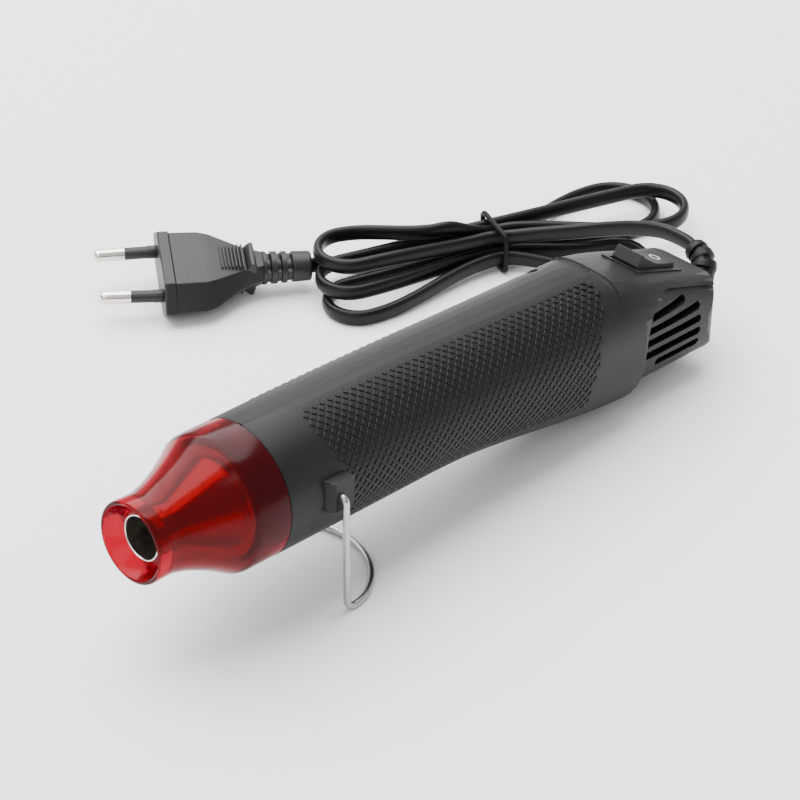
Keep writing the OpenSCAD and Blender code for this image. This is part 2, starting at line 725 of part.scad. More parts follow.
function edge(f, side) = [f[0], f[1] + side * f[2], cord_w / 2 + layer * f[3]];
function run_point(r, u) = let (
    v = slots[r - 1][0] * column + tie_shift,
    n = slots[r - 1][1],
    e = u < 0 || r == 7 ? (r == 1 ? start_run : edge(left_folds[floor(r / 2) - 1], left_edge[r - 1]))
        : edge(right_folds[floor((r - 1) / 2)], right_edge[r - 1]),
    t = abs(u / e[0]),
    early = r == early_climb && u < 0,
    climbed = (e[2] - cord_w / 2) / layer - n)
    [u, v + (e[1] - v) * ease(early ? (t - 0.33) / 0.67 : t),
        cord_w / 2 + waist_lift * (1 - ease(t)) + layer * (n + climbed * ease(early ? t / 0.34 : t))];
run_steps = 3;
fold_steps = 6;
function run(r) = let (
    left = r == 1 ? start_run[0] : left_folds[floor(r / 2) - 1][0],
    right = r == 7 ? 0 : right_folds[floor((r - 1) / 2)][0],
    last = r == 7 ? run_steps : 2 * run_steps - 1,
    p = [for (i = [1 : last]) let (t = i / run_steps - 1) run_point(r, t < 0 ? -t * left : t * right)])
    r % 2 == 1 ? p : [for (i = [len(p) - 1 : -1 : 0]) p[i]];
function fold(f, side, from) = [for (i = [0 : fold_steps]) let (a = from * (90 - 180 * i / fold_steps))
    [f[0] + side * f[2] * cos(a), f[1] + f[2] * sin(a), cord_w / 2 + layer * f[3]]];

hank_uv = concat(hank_start, [start_run],
    run(1), fold(right_folds[0], 1, 1), run(2), fold(left_folds[0], -1, 1),
    run(3), fold(right_folds[1], 1, -1), run(4), fold(left_folds[1], -1, -1),
    run(5), fold(right_folds[2], 1, 1), run(6), fold(left_folds[2], -1, 1),
    run(7), hank_end);
function from_tie(p) = [tie_at[0] + p[0] * cos(hank_turn) - p[1] * sin(hank_turn),
    tie_at[1] + p[0] * sin(hank_turn) + p[1] * cos(hank_turn), p[2]];
hank_points = [for (p = hank_uv) from_tie(p)];
last_point = hank_points[len(hank_points) - 1];
last_way = unit(last_point - hank_points[len(hank_points) - 2]);
boot_end = relief_path[len(relief_path) - 1];
boot_way = unit(boot_end - relief_path[len(relief_path) - 2]);
lead_points = concat([boot_end - boot_way],
    spline(concat([boot_end + 2 * boot_way], lead_route, [last_point + 2 * last_way]), 4),
    [last_point - 0.5 * last_way]);

// Least gap between stretches of the hank that aren't neighbours along it: side by side strands
// are a thickness apart, and crossing ones a width
function clear_of(p, q) = let (flat = norm([p[0] - q[0], p[1] - q[1]]), up = abs(p[2] - q[2]))
    max(flat - cord_t, up - cord_w);
sub_steps = 4;
hank_fine = [for (i = [0 : len(hank_points) - 2]) for (k = [0 : sub_steps - 1])
    hank_points[i] + (hank_points[i + 1] - hank_points[i]) * k / sub_steps];
hank_gap = min([for (i = [0 : len(hank_fine) - 1]) for (j = [i + 6 * sub_steps : 1 : len(hank_fine) - 1])
    clear_of(hank_fine[i], hank_fine[j])]);
function path_len(p) = [for (i = [1 : len(p) - 1]) norm(p[i] - p[i - 1])] * [for (i = [1 : len(p) - 1]) 1];
echo(hank_gap = hank_gap, hank_length = path_len(hank_points), lead_length = path_len(lead_points));

module cord_hank() {
    color("#151617") swept(hank_points, flat_section(cord_w, cord_t, 6));
}

module at_tie() {
    translate([tie_at[0], tie_at[1], 0]) rotate([0, 0, hank_turn]) children();
}

// One closed loop of wire tie round the bundle, in a plane of its own
module cord_tie() {
    corner = 2;
    sides = 16;
    bend_steps = 6;
    half_v = 2 * column + tie_r + 0.7 - corner;
    half_z = (waist_lift + layer + cord_w + 0.5) / 2 - corner;
    rings = [for (q = [0 : 3]) let (
        v = q == 0 || q == 3 ? half_v : -half_v,
        z = q < 2 ? half_z : -half_z)
        for (k = [0 : bend_steps]) let (a = 90 * (q + k / bend_steps))
            for (s = ring(tie_r, sides))
                [-s[1], v + (corner + s[0]) * cos(a), z + (corner + s[0]) * sin(a)]];
    n = 4 * (bend_steps + 1);
    skin = [for (i = [0 : n - 1]) for (j = [0 : sides - 1])
        let (k = (j + 1) % sides, here = i * sides, next = (i + 1) % n * sides)
            for (f = [[here + j, next + j, here + k], [here + k, next + j, next + k]]) f];
    color("#0f0f10") at_tie() translate([1.5, tie_shift, tie_r + corner + half_z])
        polyhedron(rings, skin, convexity = 6);
}

// Plug: drawn with its face at x = 0, pins forwards, lying along X, then rolled onto its edge
plug_turn = -35;
plug_roll = 14;
face_l = 35.3;
face_h = 13.7;
plug_len = 46;
plug_at = [hank_points[0][0], hank_points[0][1], hank_points[0][2]];
plug_z = 9.3;
plug_dip = asin((plug_z - plug_at[2]) / plug_len);
module at_plug() {
    translate(plug_at) rotate([0, plug_dip, plug_turn]) translate([-plug_len, 0, 0])
        rotate([plug_roll, 0, 0]) children();
}

function face_outline(l, h, flat) = [[l / 2, 0], [flat / 2, h / 2], [-flat / 2, h / 2], [-l / 2, 0],
    [-flat / 2, -h / 2], [flat / 2, -h / 2]];
module face_slab(x, t, l, h, flat) {
    translate([x, 0, 0]) rotate([90, 0, 90]) linear_extrude(t) polygon(face_outline(l, h, flat));
}

module plug_body() {
    color("#1a1b1c") at_plug() difference() {
        union() {
            face_slab(0, 3.4, face_l, face_h, 22);
            hull() {
                face_slab(3.4, 10, face_l - 1.4, face_h - 1.2, 21.5);
                face_slab(27, 1, 14, 8.4, 9);
            }
            hull() {
                face_slab(26, 1, 14.4, 8.6, 9);
                rod_x(30, 2, 4.2);
            }
            for (s = [-1, 1]) for (i = [0 : 4]) translate([18.6 + 1.5 * i, 0, s * 4.7])
                cube([0.8, 9, 3.2], center = true);
            for (s = [-1, 1]) translate([26.9, 0, s * 4.6]) cube([2.4, 9.4, 3.8], center = true);
        }
        for (s = [-1, 1]) translate([0, s * pin_pitch / 2, 0]) rod_x(-1, 8, 1.75);
    }
}

module plug_relief() {
    color("#1a1b1c") at_plug() union() {
        rod_x(31.9, plug_len - 31.9 - 4.4, 2.6);
        rod_x(plug_len - 4.6, 4.6, 3.7);
        for (i = [0 : 2]) rod_x(32.4 + 3.2 * i, 1.8, 4 - 0.1 * i);
    }
}

module pins() {
    lean = asin(0.55 / 19);
    for (s = [-1, 1]) translate([0, s * pin_pitch / 2, 0]) rotate([0, 0, s * lean]) children();
}

module pin_sleeves() {
    color("#141415") at_plug() pins() union() {
        rod_x(-10, 9.9, 2);
        rod_x(-1, 4, 1.6);
    }
}

module plug_pins() {
    color("#d3d3d0") at_plug() pins() {
        rod_x(-17.5, 7.5, 2);
        translate([-17.5, 0, 0]) rotate([0, -90, 0]) cylinder(r1 = 2, r2 = 1.1, h = 1.5, $fn = fine);
    }
}

left_shell();
right_shell();
nozzle_guard();
outlet_nozzle();
heater_barrel();
mica_sleeve();
mica_frame();
heating_coil();
thermal_fuse();
heater_disc();
fan_housing();
fan();
motor_shaft();
motor_can();
motor_end_cap();
motor_sleeve();
rectifier_board();
diodes();
capacitor();
switch_frame();
switch_rocker();
switch_terminals();
cord_clamp();
clamp_screws();
case_screws();
cord_inner_end();
splice_cap();
live_lead();
heater_lead();
neutral_lead();
motor_leads();
stand_wire();
strain_relief();
cord_lead();
cord_hank();
cord_tie();
plug_body();
plug_relief();
pin_sleeves();
plug_pins();
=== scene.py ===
import bmesh
import bpy
import math
from mathutils import Matrix, Vector


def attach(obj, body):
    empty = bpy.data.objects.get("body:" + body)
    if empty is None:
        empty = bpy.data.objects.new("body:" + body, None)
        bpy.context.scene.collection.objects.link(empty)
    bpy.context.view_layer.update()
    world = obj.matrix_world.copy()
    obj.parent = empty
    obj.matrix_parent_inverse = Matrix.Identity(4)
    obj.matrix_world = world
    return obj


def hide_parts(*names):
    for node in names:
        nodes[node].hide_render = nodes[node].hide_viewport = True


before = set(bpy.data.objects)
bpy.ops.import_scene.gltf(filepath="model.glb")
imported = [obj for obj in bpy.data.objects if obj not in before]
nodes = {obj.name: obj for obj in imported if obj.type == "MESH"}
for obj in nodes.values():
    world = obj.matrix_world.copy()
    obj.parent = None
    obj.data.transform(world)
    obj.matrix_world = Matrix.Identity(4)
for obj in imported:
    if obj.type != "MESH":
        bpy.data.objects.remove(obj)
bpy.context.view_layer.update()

# Everything below is drawn in millimetres and brought to metres when a piece is placed
toMetres = Matrix.Scale(0.001, 4)
toolFrame = dict(mid=107.4433, mouthHeight=38.1287, tilt=3)
toolPlace = (toMetres @ Matrix.Translation((-toolFrame["mid"], 0, toolFrame["mouthHeight"]))
             @ Matrix.Rotation(math.radians(toolFrame["tilt"]), 4, "Y"))


# Camera

photoView = dict(eye=(-0.5837, -0.5741, 0.5877), target=(0.0276, 0.037, 0.0), lens=162)


def makeCamera():
    bpy.ops.object.camera_add(location=photoView["eye"])
    camera = bpy.context.object
    look = Vector(photoView["target"]) - Vector(photoView["eye"])
    camera.rotation_euler = look.to_track_quat("-Z", "Y").to_euler()
    camera.data.lens = photoView["lens"]
    camera.data.sensor_width = 36
    camera.data.clip_start = 0.05
    bpy.context.scene.camera = camera


makeCamera()
print("camera set")


# Shader arithmetic

class Reading:  # a value in a material, which takes part in ordinary sums
    def __init__(self, finish, socket):
        self.finish = finish
        self.socket = socket

    def sum(self, operation, first, second=None):
        inputs = {0: first} if second is None else {0: first, 1: second}
        return self.finish.add("ShaderNodeMath", {"operation": operation}, inputs)

    def __add__(self, other): return self.sum("ADD", self, other)
    def __radd__(self, other): return self.sum("ADD", other, self)
    def __sub__(self, other): return self.sum("SUBTRACT", self, other)
    def __rsub__(self, other): return self.sum("SUBTRACT", other, self)
    def __mul__(self, other): return self.sum("MULTIPLY", self, other)
    def __rmul__(self, other): return self.sum("MULTIPLY", other, self)
    def __abs__(self): return self.sum("ABSOLUTE", self)


class Finish:  # one procedural material
    def __init__(self, name, settings):
        self.material = bpy.data.materials.new(name)
        self.material.use_nodes = True
        self.tree = self.material.node_tree
        self.shader = self.tree.nodes["Principled BSDF"]
        self.give(self.shader, settings)

    def give(self, node, inputs):
        for key, value in inputs.items():
            if isinstance(value, Reading):
                self.tree.links.new(value.socket, node.inputs[key])
            else:
                node.inputs[key].default_value = value

    def add(self, kind, settings=None, inputs=None, output=0):
        node = self.tree.nodes.new(kind)
        for key, value in (settings or {}).items():
            setattr(node, key, value)
        self.give(node, inputs or {})
        return Reading(self, node.outputs[output])

    def where(self):  # the point on the object, in metres
        return self.add("ShaderNodeTexCoord", output="Object")

    def along(self, axis, point=None):
        return self.add("ShaderNodeSeparateXYZ", inputs={0: point or self.where()}, output=axis)

    def noise(self, scale, detail=2.0, stretch=None):
        point = self.where()
        if stretch:
            point = self.add("ShaderNodeMapping", inputs={"Vector": point, "Scale": stretch})
        return self.add("ShaderNodeTexNoise", inputs={"Vector": point, "Scale": scale, "Detail": detail})

    def between(self, factor, first, second):
        return self.add("ShaderNodeMix", {"data_type": "RGBA"}, {0: factor, 6: first, 7: second}, 2)

    def step(self, value, low, high):
        return self.add("ShaderNodeMapRange", {"interpolation_type": "SMOOTHSTEP"},
                        {"Value": value, "From Min": low, "From Max": high})

    def relief(self, height, distance, strength=1.0):
        return self.add("ShaderNodeBump",
                        inputs={"Height": height, "Distance": distance, "Strength": strength})

    def wear(self, **sockets):
        names = dict(colour="Base Color", roughness="Roughness", normal="Normal")
        self.give(self.shader, {names[key]: value for key, value in sockets.items()})
        return self.material


def rgb(red, green, blue):
    return (red, green, blue, 1)


mouldedBlack = dict(dark=rgb(0.002, 0.002, 0.002), light=rgb(0.011, 0.011, 0.011), grain=2400, depth=0.0002,
                    roughness=0.4, shine=0.24, seam=0.00016)


def mouldedPlastic(name, look, seam=False):
    finish = Finish(name, {"Specular IOR Level": look["shine"]})
    grain = finish.noise(look["grain"], 3)
    patches = finish.noise(60, 2)
    colour = finish.between(grain * 0.7 + patches * 0.3, look["dark"], look["light"])
    height = grain
    if seam:
        line = 1 - finish.step(abs(finish.along("Y")), look["seam"] * 0.4, look["seam"])
        colour = finish.between(line * 0.5, colour, rgb(0.002, 0.002, 0.002))
        height = grain - line
    return finish.wear(colour=colour, roughness=look["roughness"] + grain * 0.16 - patches * 0.06,
                       normal=finish.relief(height, look["depth"], 0.5))


def softPlastic(name, dark, light, roughness, grain=1400, depth=0.00002, shine=0.35):
    finish = Finish(name, {"Specular IOR Level": shine})
    speckle = finish.noise(grain, 3)
    patches = finish.noise(45, 2)
    return finish.wear(colour=finish.between(patches * 0.6 + speckle * 0.4, dark, light),
                       roughness=roughness + speckle * 0.12 - patches * 0.05,
                       normal=finish.relief(speckle, depth, 0.5))


def metalFinish(name, dark, light, roughness, stretch=(1, 1, 1), scale=900, depth=0.000006):
    finish = Finish(name, {"Metallic": 1.0})
    streaks = finish.noise(scale, 4, stretch)
    patches = finish.noise(120, 2)
    return finish.wear(colour=finish.between(streaks * 0.6 + patches * 0.4, dark, light),
                       roughness=roughness + streaks * 0.12 + patches * 0.06,
                       normal=finish.relief(streaks, depth, 0.4))


clearRed = dict(tint=rgb(0.4, 0.0, 0.014), deep=rgb(0.27, 0.0, 0.008), roughness=0.13)


def tintedClear(name, look):
    finish = Finish(name, {"Transmission Weight": 0.94, "IOR": 1.22, "Specular IOR Level": 0.06})
    flow = finish.noise(35, 2, (0.4, 1, 1))
    smudge = finish.noise(260, 3)
    return finish.wear(colour=finish.between(flow, look["tint"], look["deep"]),
                       roughness=look["roughness"] + smudge * 0.05,
                       normal=finish.relief(smudge, 0.000008, 0.3))


casing = mouldedPlastic("CasingBlack", mouldedBlack, seam=True)
gripBlack = mouldedPlastic("GripBlack", dict(mouldedBlack, depth=0.00005, shine=0.2))
switchBlack = mouldedPlastic("SwitchBlack",
                             dict(mouldedBlack, light=rgb(0.014, 0.0145, 0.015), roughness=0.42))
plugBlack = mouldedPlastic("PlugBlack", dict(mouldedBlack, roughness=0.38, depth=0.00012, shine=0.4))
bootBlack = softPlastic("BootBlack", rgb(0.003, 0.003, 0.003), rgb(0.008, 0.008, 0.008), 0.42, shine=0.2)
leadBlack = softPlastic("LeadBlack", rgb(0.002, 0.002, 0.002), rgb(0.006, 0.006, 0.006), 0.34,
                        900, 0.00001, 0.2)
tieBlack = softPlastic("TieBlack", rgb(0.002, 0.002, 0.002), rgb(0.006, 0.006, 0.006), 0.5, shine=0.15)
sleeveBlack = softPlastic("SleeveBlack", rgb(0.004, 0.004, 0.004), rgb(0.01, 0.01, 0.01), 0.35)
guardRed = tintedClear("GuardRed", clearRed)
brightSteel = metalFinish("BrightSteel", rgb(0.62, 0.61, 0.59), rgb(0.86, 0.85, 0.83), 0.12)
warmSteel = metalFinish("WarmSteel", rgb(0.42, 0.38, 0.33), rgb(0.68, 0.64, 0.58), 0.22)
standSteel = metalFinish("StandSteel", rgb(0.30, 0.30, 0.29), rgb(0.52, 0.52, 0.51), 0.16, (1, 1, 0.3))
nickel = metalFinish("Nickel", rgb(0.66, 0.62, 0.56), rgb(0.88, 0.85, 0.80), 0.10)
markWhite = softPlastic("MarkWhite", rgb(0.72, 0.72, 0.71), rgb(0.86, 0.86, 0.85), 0.45)
darkPlastic = softPlastic("InnerDark", rgb(0.012, 0.012, 0.013), rgb(0.03, 0.03, 0.032), 0.5)
palePlastic = softPlastic("InnerPale", rgb(0.55, 0.54, 0.50), rgb(0.72, 0.71, 0.68), 0.45)
mica = softPlastic("Mica", rgb(0.33, 0.24, 0.12), rgb(0.56, 0.43, 0.25), 0.35, 500, 0.00003)
ceramic = softPlastic("Ceramic", rgb(0.55, 0.50, 0.42), rgb(0.74, 0.70, 0.62), 0.6)
boardBrown = softPlastic("BoardBrown", rgb(0.35, 0.22, 0.08), rgb(0.48, 0.32, 0.13), 0.5)
capacitorRed = softPlastic("CapacitorRed", rgb(0.32, 0.10, 0.03), rgb(0.44, 0.16, 0.05), 0.35)
fanBlue = softPlastic("FanBlue", rgb(0.02, 0.035, 0.05), rgb(0.04, 0.06, 0.085), 0.4)
brownLead = softPlastic("BrownLead", rgb(0.10, 0.04, 0.015), rgb(0.16, 0.07, 0.03), 0.4)
blueLead = softPlastic("BlueLead", rgb(0.015, 0.06, 0.22), rgb(0.03, 0.10, 0.32), 0.4)
redLead = softPlastic("RedLead", rgb(0.35, 0.01, 0.015), rgb(0.5, 0.02, 0.03), 0.4)
brass = metalFinish("Brass", rgb(0.56, 0.38, 0.12), rgb(0.78, 0.58, 0.24), 0.22)
print("finishes mixed")


# Making pieces

def pick(piece):
    bpy.ops.object.select_all(action="DESELECT")
    piece.select_set(True)
    bpy.context.view_layer.objects.active = piece


def startPiece(name, points, edges=(), faces=()):
    mesh = bpy.data.meshes.new(name)
    mesh.from_pydata([tuple(p) for p in points], list(edges), list(faces))
    piece = bpy.data.objects.new(name, mesh)
    bpy.context.collection.objects.link(piece)
    pick(piece)
    return piece


def closeUp(piece, angle=35, doubles=0.0005):
    pick(piece)
    bpy.ops.object.mode_set(mode="EDIT")
    bpy.ops.mesh.select_all(action="SELECT")
    bpy.ops.mesh.remove_doubles(threshold=doubles)
    bpy.ops.mesh.normals_make_consistent(inside=False)
    bpy.ops.object.mode_set(mode="OBJECT")
    bpy.ops.object.shade_smooth_by_angle(angle=math.radians(angle))


def modify(piece, kind, **settings):
    pick(piece)
    modifier = piece.modifiers.new(kind.title(), kind)
    for key, value in settings.items():
        setattr(modifier, key, value)
    bpy.ops.object.modifier_apply(modifier=modifier.name)


def soften(piece, width, angle=30, segments=2):
    modify(piece, "BEVEL", width=width, segments=segments, limit_method="ANGLE",
           angle_limit=math.radians(angle))


def finishPiece(piece, place, material, body, slotName, stands=()):
    piece.data.transform(place)
    piece.data.materials.clear()
    piece.data.materials.append(material)
    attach(piece, body)
    if stands:
        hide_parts(*stands)
    return piece


def join(pieces, name):
    bpy.ops.object.select_all(action="DESELECT")
    for piece in pieces:
        piece.select_set(True)
    bpy.context.view_layer.objects.active = pieces[0]
    bpy.ops.object.join()
    pieces[0].name = name
    return pieces[0]


def spunPiece(name, profile, turns=96, angle=35):  # a closed profile of (x, radius) turned about the X axis
    points = [(x, 0, r) for x, r in profile]
    piece = startPiece(name, points, [(i, (i + 1) % len(points)) for i in range(len(points))])
    bpy.ops.object.mode_set(mode="EDIT")
    bpy.ops.mesh.select_all(action="SELECT")
    bpy.ops.mesh.spin(steps=turns, angle=math.tau, center=(0, 0, 0), axis=(1, 0, 0))
    bpy.ops.object.mode_set(mode="OBJECT")
    closeUp(piece, angle)
    return piece


def grownPiece(name, rings):  # a face pulled out ring by ring
    piece = startPiece(name, rings[0], faces=[list(range(len(rings[0])))])
    bpy.ops.object.mode_set(mode="EDIT")
    bpy.ops.mesh.select_all(action="SELECT")
    for before, after in zip(rings, rings[1:]):
        bpy.ops.mesh.extrude_region_move()
        shape = bmesh.from_edit_mesh(piece.data)
        for vertex in [v for v in shape.verts if v.select]:
            nearest = min(range(len(before)), key=lambda k: (Vector(before[k]) - vertex.co).length)
            vertex.co = after[nearest]
        bmesh.update_edit_mesh(piece.data)
    bpy.ops.object.mode_set(mode="OBJECT")
    return piece


def ringPoints(radius, sides):
    angles = [math.tau * i / sides for i in range(sides)]
    return [(radius * math.cos(a), radius * math.sin(a)) for a in angles]


def headings(path, closed=False):
    n = len(path)
    if closed:
        return [(path[(i + 1) % n] - path[i - 1]).normalized() for i in range(n)]
    return [(path[min(i + 1, n - 1)] - path[max(i - 1, 0)]).normalized() for i in range(n)]


def sweptPiece(name, path, section, level=True, closed=False, angle=60):
    # section(i) gives the outline at point i of the path; level keeps it upright
    ways = headings(path, closed)
    side = Vector((0, 0, 1)).cross(ways[0])
    side = side.normalized() if side.length > 0.01 else Vector((0, 1, 0))
    points, count = [], 0
    for i, (spot, way) in enumerate(zip(path, ways)):
        side = Vector((0, 0, 1)).cross(way) if level else side - way * side.dot(way)
        side.normalize()
        up = way.cross(side)
        ring = section(i)
        count = len(ring)
        points += [spot + side * a + up * b for a, b in ring]
    n = len(path)
    faces = []
    for i in range(n if closed else n - 1):
        here, ahead = i * count, (i + 1) % n * count
        for j in range(count):
            k = (j + 1) % count
            faces.append((here + j, ahead + j, ahead + k, here + k))
    if not closed:
        faces += [list(range(count)), list(range((n - 1) * count, n * count))]
    piece = startPiece(name, points, faces=faces)
    closeUp(piece, angle, 0.00001)
    return piece


def ease(share):
    held = max(0.0, min(1.0, share))
    return held * held * (3 - 2 * held)


def smoothLine(points, spacing):  # an even curve through points that may be unevenly spaced
    knots = [Vector(p) for p in points]
    knots = [2 * knots[0] - knots[1]] + knots + [2 * knots[-1] - knots[-2]]
    line = []
    for a, b, c, d in zip(knots, knots[1:], knots[2:], knots[3:]):
        t1 = (b - a).length ** 0.5
        t2 = t1 + (c - b).length ** 0.5
        t3 = t2 + (d - c).length ** 0.5
        for k in range(steps := max(1, round((c - b).length / spacing))):
            t = t1 + (t2 - t1) * k / steps
            p = a * ((t1 - t) / t1) + b * (t / t1)
            q = b * ((t2 - t) / (t2 - t1)) + c * ((t - t1) / (t2 - t1))
            r = c * ((t3 - t) / (t3 - t2)) + d * ((t - t2) / (t3 - t2))
            u = p * ((t2 - t) / t2) + q * (t / t2)
            v = q * ((t3 - t) / (t3 - t1)) + r * ((t - t1) / (t3 - t1))
            line.append(u * ((t2 - t) / (t2 - t1)) + v * ((t - t1) / (t2 - t1)))
    return line + [knots[-2]]


def lineLength(line):
    return sum((b - a).length for a, b in zip(line, line[1:]))


# The lead: out of the boot, into the hank, through its seven runs and on to the plug

flatLead = dict(width=4.8, thickness=3.0, sides=20, spacing=1.6)
boot = dict(path=[(108.2, 0, 19.2), (111.6, -0.8, 19.4), (114.9, -1.2, 20.6), (117.3, -0.3, 22.7),
                  (118.9, 2.4, 24.4), (119.7, 6.2, 25.1)],
            start=4.3, end=3.5, core=2.75, pitch=3.0, slot=1.1, bridge=0.5, firstSlot=2.2, lastSlot=5.2,
            sink=0.25, rounding=0.8, sides=40,
            flange=[(215.9, 2.6), (215.9, 4.6), (216.2, 4.95), (216.9, 4.95), (217.2, 4.6), (217.2, 2.6)],
            flangeHeight=-7.6)
leadOut = [(120.3, 11, 25.6), (120.7, 19, 24.8), (120.2, 29, 21.8), (118.8, 39, 17.8), (116, 48, 14.3)]
hank = dict(at=(100, 70), turn=-21.3, layer=5.45, column=3.5, shift=0.8, lift=1.9, earlyRun=6,
            slots=[(1.5, 0), (0.5, 0), (-1.5, 0), (-0.5, 0), (1.5, 1), (0.5, 1), (-0.5, 1)],
            left=[(-47, -6.5, 9.5, 0), (-47.5, -1, 9, 1), (-45, 5, 9.5, 2)],
            right=[(47, 9.6, 13, 0), (34.5, -17, 9, 0), (53.4, -1.6, 11, 1)],
            leftEdge=[0, 1, -1, -1, 1, 1, -1], rightEdge=[1, -1, -1, 1, 1, -1, 0],
            fromPlug=[(-55.4, 10.7, 7.2), (-52.5, 10.6, 6.9), (-49, 11.4, 5.9), (-45, 11.6, 4.4),
                      (-41, 11.6, 3.1), (-37, 11.4, 2.4)],
            toTool=[(5, -2.4, 9.7), (9.2, -4.5, 10.4), (12, -6, 10.9)], runSteps=7, foldSteps=12)


def foldEdge(fold, side):
    return (fold[0], fold[1] + side * fold[2], flatLead["width"] / 2 + hank["layer"] * fold[3])


def runEnd(run, left):
    if left and run == 1:
        return hank["fromPlug"][-1]
    if left:
        return foldEdge(hank["left"][run // 2 - 1], hank["leftEdge"][run - 1])
    return foldEdge(hank["right"][(run - 1) // 2], hank["rightEdge"][run - 1])


def runPoint(run, u, end):
    column, level = hank["slots"][run - 1]
    v = column * hank["column"] + hank["shift"]
    share = abs(u / end[0])
    climb = (end[2] - flatLead["width"] / 2) / hank["layer"] - level
    early = run == hank["earlyRun"] and u < 0
    across = ease((share - 0.33) / 0.67 if early else share)
    up = ease(share / 0.34 if early else share)
    height = flatLead["width"] / 2 + hank["lift"] * (1 - ease(share)) + hank["layer"] * (level + climb * up)
    return (u, v + (end[1] - v) * across, height)


def runLine(run):
    steps = hank["runSteps"]
    left = [runPoint(run, runEnd(run, True)[0] * (1 - k / steps), runEnd(run, True)) for k in range(1, steps)]
    if run == 7:
        return left + [runPoint(7, 0, runEnd(7, True))]
    right = [runPoint(run, runEnd(run, False)[0] * k / steps, runEnd(run, False)) for k in range(steps)]
    return left + right if run % 2 else (left + right)[::-1]


def foldLine(fold, side, start):
    angles = [math.radians(start * (90 - 180 * k / hank["foldSteps"])) for k in range(hank["foldSteps"] + 1)]
    return [(fold[0] + side * fold[2] * math.cos(a), fold[1] + fold[2] * math.sin(a),
             flatLead["width"] / 2 + hank["layer"] * fold[3]) for a in angles]


def hankLine():
    left, right = hank["left"], hank["right"]
    flat = (hank["fromPlug"] + runLine(1) + foldLine(right[0], 1, 1) + runLine(2) + foldLine(left[0], -1, 1)
            + runLine(3) + foldLine(right[1], 1, -1) + runLine(4) + foldLine(left[1], -1, -1)
            + runLine(5) + foldLine(right[2], 1, 1) + runLine(6) + foldLine(left[2], -1, 1)
            + runLine(7) + hank["toTool"])
    turn = math.radians(hank["turn"])
    return [Vector((hank["at"][0] + u * math.cos(turn) - v * math.sin(turn),
                    hank["at"][1] + u * math.sin(turn) + v * math.cos(turn), z)) for u, v, z in flat]


def flatOutline(width, thickness, sides):
    outline = []
    for i in range(sides):
        a = math.tau * (i + 0.5) / sides
        c, s = math.cos(a), math.sin(a)
        outline.append((thickness / 2 * math.copysign(abs(c) ** 0.72, c),
                        width / 2 * math.copysign(abs(s) ** 0.9, s)))
    return outline


def makeLead():
    bootEnd, before = Vector(boot["path"][-1]), Vector(boot["path"][-2])
    bootWay = (bootEnd - before).normalized()
    hankPoints = hankLine()
    knots = [bootEnd - bootWay, bootEnd + 2 * bootWay] + leadOut + hankPoints[::-1]
    route = smoothLine(knots, flatLead["spacing"])
    outline = flatOutline(flatLead["width"], flatLead["thickness"], flatLead["sides"])
    lead = sweptPiece("lead", route, lambda i: outline)
    finishPiece(lead, toMetres, leadBlack, "housing", "cord", ("cord_lead", "cord_hank"))
    return lead, [p * 0.001 for p in route], hankPoints


lead, leadRoute, hankPoints = makeLead()
print("lead laid", round(lineLength(leadRoute), 4))


# Boot: the strain relief at the tail

def makeBoot():
    core = smoothLine(boot["path"], 0.3)
    reach = [0]
    for a, b in zip(core, core[1:]):
        reach.append(reach[-1] + (b - a).length)
    total, end = reach[-1], boot["rounding"]

    def outline(i):
        at = reach[i]
        outer = boot["start"] + (boot["end"] - boot["start"]) * at / total
        if at > total - end:
            outer -= 0.5 * ((at - total + end) / end) ** 2
        place = (at - boot["firstSlot"]) / boot["pitch"]
        inSlot = 0 < place % 1 < boot["slot"] / boot["pitch"] and 0 < place < boot["lastSlot"]
        ring = []
        for k in range(boot["sides"]):
            a = math.tau * k / boot["sides"]
            bridging = abs(math.cos(a + (math.pi / 2 if int(place) % 2 else 0))) > math.cos(boot["bridge"])
            radius = boot["core"] if inSlot and not bridging else outer - (boot["sink"] if inSlot else 0)
            ring.append((radius * math.cos(a), radius * math.sin(a)))
        return ring

    sleeve = sweptPiece("bootSleeve", core, outline, level=False, angle=40)
    flange = spunPiece("bootFlange", boot["flange"], 48)
    flange.data.transform(Matrix.Translation((0, 0, boot["flangeHeight"])))
    flange.data.transform(toMetres.inverted() @ toolPlace)
    whole = join([sleeve, flange], "strainRelief")
    return finishPiece(whole, toMetres, bootBlack, "housing", "cord", ("strain_relief",))


bootPiece = makeBoot()
print("boot made")


# Tie round the hank

tie = dict(radius=0.8, corner=2.0, u=1.5, wide=0.7, tall=0.5)


def makeTie():
    halfV = 2 * hank["column"] + tie["radius"] + tie["wide"] - tie["corner"]
    halfZ = (hank["lift"] + hank["layer"] + flatLead["width"] + tie["tall"]) / 2 - tie["corner"]
    middle = tie["radius"] + tie["corner"] + halfZ
    turn = math.radians(hank["turn"])
    loop = []
    for quarter, (sv, sz) in enumerate([(1, 1), (-1, 1), (-1, -1), (1, -1)]):
        for k in range(9):
            a = math.radians(90 * quarter + 90 * k / 8)
            v = hank["shift"] + sv * halfV + tie["corner"] * math.cos(a)
            loop.append(Vector((hank["at"][0] + tie["u"] * math.cos(turn) - v * math.sin(turn),
                                hank["at"][1] + tie["u"] * math.sin(turn) + v * math.cos(turn),
                                middle + sz * halfZ + tie["corner"] * math.sin(a))))
    ring = ringPoints(tie["radius"], 14)
    piece = sweptPiece("tie", loop, lambda i: ring, level=False, closed=True)
    return finishPiece(piece, toMetres, tieBlack, "housing", "cord", ("cord_tie",))


tiePiece = makeTie()
print("tie made")


# Plug

plug = dict(turn=-35, roll=14, height=9.3, length=46, pitch=18.6, pinRadius=2.0, sleeveRadius=2.0,
            pinLength=19, lean=0.55)
